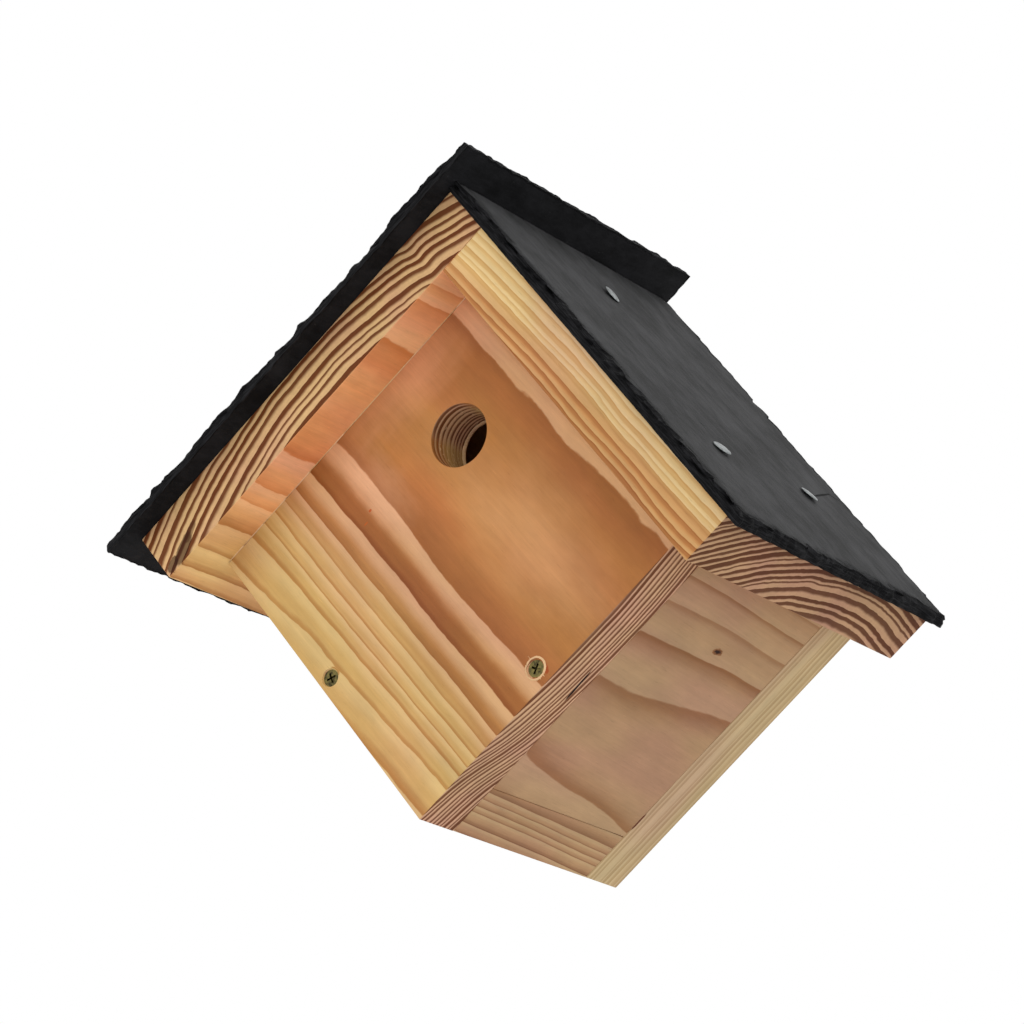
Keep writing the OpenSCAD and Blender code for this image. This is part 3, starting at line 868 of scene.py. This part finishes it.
def clout_nail(name, node, outward, grain, tilt):
    """A clout nail driven through a slate: a domed, slightly tilted head on its shank."""
    local = [outward.dot(vertex.co) for vertex in NODES[node].data.vertices]
    top = max(local)
    bottom = min(local)
    middle = middle_of(node)
    origin = middle + outward * (top - MM - outward.dot(middle))
    length = top - MM - bottom
    bm = bmesh.new()
    # The head's dome, rim and underside, then the shank, in mm
    profile = [
        (0, 1.0), (1.5, 0.98), (3.0, 0.88), (4.0, 0.68), (NAIL_HEAD_MM, 0.4), (4.4, 0.16),
        (4.0, 0.0), (2.0, -0.05), (1.5, -0.2), (1.3, -0.29), (1.25, -0.6),
        (1.25, -length / MM + 3), (0, -length / MM)]
    spun(bm, [(radius * MM, height * MM) for radius, height in profile], 28)
    head = [vertex for vertex in bm.verts if vertex.co.z > -0.3 * MM]
    for vertex in head:
        rim = Vector((vertex.co.x, vertex.co.y)).length / (NAIL_HEAD_MM * MM)
        dent = noise.noise(vertex.co * 260 + Vector((top * 90, 0, 0)))
        vertex.co.z += 0.12 * MM * dent + NAIL_PROUD
        vertex.co.x *= 1 + 0.05 * dent * rim
        vertex.co.y *= 1 - 0.06 * dent * rim
    lean = Matrix.Rotation(tilt[0], 3, "X") @ Matrix.Rotation(tilt[1], 3, "Y")
    bmesh.ops.rotate(bm, cent=(0, 0, 0), matrix=lean, verts=head)
    bmesh.ops.transform(bm, matrix=turned_frame(origin, outward, grain), verts=bm.verts)
    smooth_all(bm)
    finished(name, bm, SILVER_ZINC, "house", "slate_nail_zinc", node)


# The front screws: how far down the thread starts, and its core, crest and rise
SCREW_NECK = 13 * MM
CORE_R = 1.35 * MM
CREST_R = 2.0 * MM
THREAD_PITCH = 1.9 * MM
THREAD_STEPS = 18


def screw_neck(node, middle, neck, turn):
    """A screw's head and neck, cut from its CAD node, turned and sunk into the wood."""
    bm = merged_copy(node)
    cutting = bmesh.ops.bisect_plane(
        bm, geom=bm.verts[:] + bm.edges[:] + bm.faces[:], plane_co=(0, neck, 0),
        plane_no=(0, 1, 0), clear_outer=True)
    rim = [item for item in cutting["geom_cut"] if isinstance(item, bmesh.types.BMEdge)]
    bmesh.ops.holes_fill(bm, edges=rim, sides=0)
    spin = Matrix.Rotation(turn, 3, "Y")
    bmesh.ops.rotate(bm, cent=middle, matrix=spin, verts=bm.verts)
    bmesh.ops.translate(bm, vec=(0, SCREW_SUNK, 0), verts=bm.verts)
    smooth_round_faces(bm)
    return bm


def add_shape(bm, other):
    """Adds another bench mesh to this one."""
    carried = bpy.data.meshes.new("carried")
    other.to_mesh(carried)
    other.free()
    bm.from_mesh(carried)
    bpy.data.meshes.remove(carried)


def threaded_screw(name, node, body, turn):
    """A countersunk front screw: the CAD head and neck, then a thinner core with a thread."""
    low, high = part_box(node)
    middle = middle_of(node)
    neck = low.y + SCREW_NECK
    length = high.y - neck
    rounds = int((length - 5 * MM) / THREAD_PITCH)
    bm = bmesh.new()
    profile = [(0, 0.5 * MM), (CORE_R, 0.5 * MM), (CORE_R, -length + 6 * MM), (0, -length)]
    spun(bm, profile, 20)
    tooth = [
        bm.verts.new((CORE_R * 0.9, 0, 0)), bm.verts.new((CREST_R, 0, -0.33 * MM)),
        bm.verts.new((CORE_R * 0.9, 0, -0.8 * MM))]
    face = bm.faces.new(tooth)
    bmesh.ops.spin(
        bm, geom=[face] + tooth + list(face.edges), cent=(0, 0, 0), axis=(0, 0, 1),
        dvec=(0, 0, -THREAD_PITCH / THREAD_STEPS), angle=math.tau * rounds,
        steps=THREAD_STEPS * rounds, use_merge=False, use_duplicate=False)
    bmesh.ops.recalc_face_normals(bm, faces=bm.faces)
    inward = Matrix.Translation((middle.x, neck, middle.z)) @ Matrix.Rotation(math.pi / 2, 4, "X")
    bmesh.ops.transform(bm, matrix=inward, verts=bm.verts)
    add_shape(bm, screw_neck(node, middle, neck, turn))
    finished(name, bm, FRONT_ZINC, body, "front_screw_zinc", node)


def sliver(bm, foot, along, length, width):
    """One torn fibre: a thin four-sided splinter from its foot to a point."""
    side = along.orthogonal().normalized()
    other = along.cross(side)
    turn = Matrix((side, other, along)).transposed().to_4x4()
    place = Matrix.Translation(foot + along * length / 2) @ turn
    bmesh.ops.create_cone(
        bm, cap_ends=True, segments=4, radius1=width, radius2=width * 0.12, depth=length,
        matrix=place)


def way_round(turn):
    """The way out across the front panel at a turn round its axis."""
    return DOWN_RIGHT * math.cos(turn) + DOWN_LEFT * math.sin(turn)


def face_forward(bm, spot):
    """Turns a shape that was spun round Z to look forward, and sets it on a spot."""
    bmesh.ops.transform(bm, matrix=Matrix.Rotation(-math.pi / 2, 4, "X"), verts=bm.verts)
    bmesh.ops.translate(bm, vec=spot, verts=bm.verts)


def torn_ring(name, node, material, seed, count, rim, lift):
    """The lip of torn wood that a screw head has raised round itself."""
    chance = random.Random(seed)
    low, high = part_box(node)
    head = Vector(((low.x + high.x) / 2, PANEL_LOW.y, (low.z + high.z) / 2))
    bm = bmesh.new()
    profile = [
        (rim * 0.93, 0.4 * MM), (rim * 0.97, -lift), (rim * 1.06, -lift * 0.8),
        (rim * 1.25, 0.3 * MM)]
    spun(bm, profile, 40)
    for vertex in bm.verts:
        turn = math.atan2(vertex.co.y, vertex.co.x)
        wobble = noise.noise(Vector((math.cos(turn) * 1.7, math.sin(turn) * 1.7, seed)))
        ripple = noise.noise(Vector((math.cos(turn) * 5, math.sin(turn) * 5, seed + 4)))
        vertex.co.z *= 1 + 0.9 * wobble + 0.5 * ripple
        vertex.co.x *= 1 + 0.05 * wobble + 0.03 * ripple
        vertex.co.y *= 1 + 0.05 * wobble - 0.03 * ripple
    face_forward(bm, head)
    smooth_all(bm)
    for i in range(count):
        turn = math.tau * (i + chance.random() * 0.8) / count
        out = way_round(turn)
        way = DOWN_RIGHT if out.dot(DOWN_RIGHT) > 0 else -DOWN_RIGHT
        way = way * 1.8 + out * chance.uniform(0.1, 0.5) - BACK * chance.uniform(0.0, 0.3)
        reach = rim * chance.uniform(0.98, 1.16)
        foot = head + out * reach + BACK * 0.12 * MM
        length = chance.uniform(0.6, 1.8) * MM
        sliver(bm, foot, way.normalized(), length, chance.uniform(0.14, 0.34) * MM)
    finished(name, bm, material, "front", "front_panel_wood")


def entrance_fringe(name, seed, count):
    """Short fibres that the hole saw left standing round the back of the entrance."""
    chance = random.Random(seed)
    bm = bmesh.new()
    edge_r = ENTRANCE_R / MM
    profile = [
        (edge_r + 0.3, -1.3), (edge_r - 0.2, -0.9), (edge_r - 0.9, 0.1), (edge_r - 0.3, 0.45),
        (edge_r + 0.5, 0.2)]
    spun(bm, [(radius * MM, height * MM) for radius, height in profile], 60)
    for vertex in bm.verts:
        ruffle = noise.noise(vertex.co * 420)
        vertex.co.z += 0.3 * MM * ruffle
        vertex.co.x *= 1 + 0.02 * ruffle
        vertex.co.y *= 1 - 0.02 * ruffle
    face_forward(bm, BORE + BACK * (BOARD - 0.2 * MM))
    for i in range(count):
        turn = math.tau * (i + chance.random()) / count
        out = way_round(turn)
        way = BACK * 0.9 - out * chance.uniform(-0.2, 0.75) + DOWN_RIGHT * chance.uniform(-0.4, 0.4)
        foot = BORE + out * (ENTRANCE_R + 0.15 * MM) + BACK * (BOARD - 0.9 * MM)
        length = chance.uniform(0.6, 1.5) * MM
        sliver(bm, foot, way.normalized(), length, chance.uniform(0.1, 0.22) * MM)
    for i in range(2 * count):
        turn = chance.uniform(0, math.tau)
        out = way_round(turn)
        way = out.cross(BACK) * chance.choice((-1, 1)) + BACK * chance.uniform(-0.5, 0.5)
        way = way - out * 0.12
        foot = BORE + out * (ENTRANCE_R + 0.02 * MM) + BACK * BOARD * chance.uniform(0.25, 0.95)
        length = chance.uniform(0.5, 1.9) * MM
        sliver(bm, foot, way.normalized(), length, chance.uniform(0.08, 0.2) * MM)
    finished(name, bm, TORN_WOOD, "front", "front_panel_wood")


def burr_and_painted_highlight(name, seed):
    """The fine pale burr along the front panel's two upper arrises: partly the burr that the saw
    left, partly a painted highlight laid over the shaded gap there.
    """
    bm = bmesh.new()
    start = BOARD + 0.3 * MM
    length = PANEL - 1.2 * MM
    for along, across in ((DOWN_RIGHT, DOWN_LEFT), (DOWN_LEFT, DOWN_RIGHT)):
        strand = bmesh.new()
        bmesh.ops.create_cube(strand, size=1.0)
        bmesh.ops.scale(strand, vec=(length, 0.42 * MM, 0.5 * MM), verts=strand.verts)
        lines = [edge for edge in strand.edges if edge.calc_length() > length / 2]
        bmesh.ops.subdivide_edges(strand, edges=lines, cuts=120)
        for vertex in strand.verts:
            ruffle = noise.noise(Vector((vertex.co.x / 0.004, seed, along.x)))
            vertex.co.y += 0.1 * MM * ruffle
            vertex.co.z *= 1 + 0.5 * ruffle
        middle = RIDGE + along * (start + length / 2 + 0.3 * MM) + across * (start - 0.02 * MM)
        middle = middle + BACK * (PANEL_D + 0.12 * MM)
        turn = Matrix((along, across, along.cross(across))).transposed().to_4x4()
        bmesh.ops.transform(strand, matrix=Matrix.Translation(middle) @ turn, verts=strand.verts)
        bmesh.ops.recalc_face_normals(strand, faces=strand.faces)
        add_shape(bm, strand)
    finished(name, bm, TORN_WOOD, "front", "front_panel_wood")


# ---- boards ----

ENTRANCE_DOWN = BOARD + ENTRANCE_DROP / math.sqrt(2)
BORE = at(ENTRANCE_DOWN, ENTRANCE_DOWN, PANEL_D)

eased_board("sawn_roof_board_left", "roof_board_left", ROOF_LEFT_WOOD, "house", "roof_left_wood")
eased_board(
    "sawn_roof_board_right", "roof_board_right", ROOF_RIGHT_WOOD, "house", "roof_right_wood")
eased_board("sawn_wall_left", "wall_left", WALL_LEFT_WOOD, "house", "wall_left_wood")
eased_board("sawn_wall_right", "wall_right", WALL_RIGHT_WOOD, "house", "wall_right_wood")
eased_board("sawn_back_panel", "back_panel", BACK_WOOD, "house", "back_panel_wood")
eased_board(
    "sawn_front_panel", "front_panel", FRONT_WOOD, "front", "front_panel_wood",
    arris=FRONT_ARRIS, bored_at=to_slopes(BORE))

# ---- slates ----

riven_slate(
    "riven_slate_right", "slate_right", DOWN_RIGHT, RIGHT_SLATE_STONE, 5.0,
    breaks=(0.2 * MM, 2.2 * MM, 1.3 * MM, 6.0 * MM), bevels=(0.1 * MM, 6 * MM, 8 * MM, 2.4 * MM))
riven_slate(
    "riven_slate_left", "slate_left", DOWN_LEFT, LEFT_SLATE_STONE, 47.0,
    breaks=(1.0 * MM, 2.0 * MM, 1.5 * MM, 1.4 * MM), bevels=(1.6 * MM, 3 * MM, 4 * MM, 1.4 * MM))

# ---- fasteners ----

# Each nail head's tilt round the slope's fall and round the way across it, in radians
TILTS = {
    "right_1": (-0.10, 0.07), "right_2": (0.05, -0.11), "right_3": (-0.06, -0.12),
    "left_1": (0.06, 0.05), "left_2": (-0.05, 0.08), "left_3": (0.09, -0.04),
}
for key, tilt in TILTS.items():
    axis = 0 if key.startswith("right") else 1
    grain = (DOWN_RIGHT, DOWN_LEFT)[axis]
    clout_nail("clout_nail_" + key, "slate_nail_" + key, OUTWARD[axis], grain, tilt)

threaded_screw("threaded_screw_left", "front_screw_left", "screw_left", 0.35)
threaded_screw("threaded_screw_right", "front_screw_right", "screw_right", 1.1)
torn_ring("torn_wood_left", "front_screw_left", FRONT_WOOD, 7, 12, 4.3 * MM, 0.2 * MM)
torn_ring("torn_wood_right", "front_screw_right", TORN_WOOD, 19, 16, 4.5 * MM, 0.36 * MM)
entrance_fringe("entrance_fringe", 29, 70)
# Pale strips along the front panel's upper arrises, partly burr and partly painted highlight
burr_and_painted_highlight("burr_and_painted_highlight", 61)

hanger = merged_copy("hanger_plate")
rims = [
    edge for edge in hanger.edges
    if edge.calc_face_angle(0.0) > ARRIS_TURN and edge.calc_length() > 4 * MM]
ease(hanger, rims, 0.3 * MM)
finished("pressed_hanger_plate", hanger, HANGER_STEEL, "house", "hanger_steel", "hanger_plate")

# The screws in the boards and in the hanger keep their CAD shapes
for node, piece in NODES.items():
    if piece.hide_render:
        continue
    metal = HANGER_STEEL if node.startswith("hanger") else BOARD_ZINC
    for slot in piece.material_slots:
        slot.material = metal

# ---- floor, light and camera ----

# Half the floor's width, and how far it is below the row's origin
FLOOR_REACH = 6
FLOOR_DOWN = 2.1

ground = bmesh.new()
bmesh.ops.create_grid(ground, x_segments=1, y_segments=1, size=FLOOR_REACH)
bmesh.ops.translate(ground, vec=(0, 0, -FLOOR_DOWN), verts=ground.verts)
ground_mesh = bpy.data.meshes.new("floor")
ground.to_mesh(ground_mesh)
ground.free()
floor = bpy.data.objects.new("floor", ground_mesh)
bpy.context.scene.collection.objects.link(floor)
floor_finish = bpy.data.materials.new("floor_finish")
floor_finish.use_nodes = True
floor_shader = floor_finish.node_tree.nodes["Principled BSDF"]
floor_shader.inputs["Base Color"].default_value = (0.86, 0.86, 0.86, 1)
floor_shader.inputs["Roughness"].default_value = 0.9
ground_mesh.materials.append(floor_finish)

world = bpy.data.worlds.new("studio")
world.use_nodes = True
world.node_tree.nodes["Background"].inputs["Color"].default_value = (1, 1, 1, 1)
world.node_tree.nodes["Background"].inputs["Strength"].default_value = 1.0
bpy.context.scene.world = world
bpy.context.scene.view_settings.view_transform = "Standard"


def soft_light(name, place, target, size, power):
    """A round soft light that looks at a target."""
    data = bpy.data.lights.new(name, "AREA")
    data.shape = "DISK"
    data.size = size
    data.energy = power
    lamp = bpy.data.objects.new(name, data)
    lamp.location = place
    away = Vector(target) - Vector(place)
    lamp.rotation_euler = away.to_track_quat("-Z", "Y").to_euler()
    bpy.context.scene.collection.objects.link(lamp)


LIGHT_AIM = (0, -0.1, -0.05)
soft_light("key_light", (-0.7, -2.0, 0.5), LIGHT_AIM, 1.4, 5.6)
soft_light("fill_light", (0.9, -1.9, -0.6), LIGHT_AIM, 1.2, 3.5)

# Where the camera stands round the object, how it is tilted, and what it looks at
AZIMUTH = math.radians(34.451)
ELEVATION = math.radians(-14.005)
ROLL = math.radians(5.656)
AIM = Vector((-0.0077, -0.0979, -0.0232))
DISTANCE = 1.83
LENS_MM = 149.58
SENSOR_MM = 36

back = Vector((
    math.sin(AZIMUTH) * math.cos(ELEVATION),
    -math.cos(AZIMUTH) * math.cos(ELEVATION),
    math.sin(ELEVATION)))
level = (-back).cross(Vector((0, 0, 1))).normalized()
rise = level.cross(-back)
camera_x = level * math.cos(ROLL) + rise * math.sin(ROLL)
camera_y = rise * math.cos(ROLL) - level * math.sin(ROLL)
lens = bpy.data.cameras.new("camera")
lens.lens = LENS_MM
lens.sensor_width = SENSOR_MM
lens.clip_start = 0.01
camera = bpy.data.objects.new("camera", lens)
camera.matrix_world = Matrix.Translation(AIM + back * DISTANCE) @ Matrix(
    (camera_x, camera_y, back)).transposed().to_4x4()
bpy.context.scene.collection.objects.link(camera)
bpy.context.scene.camera = camera
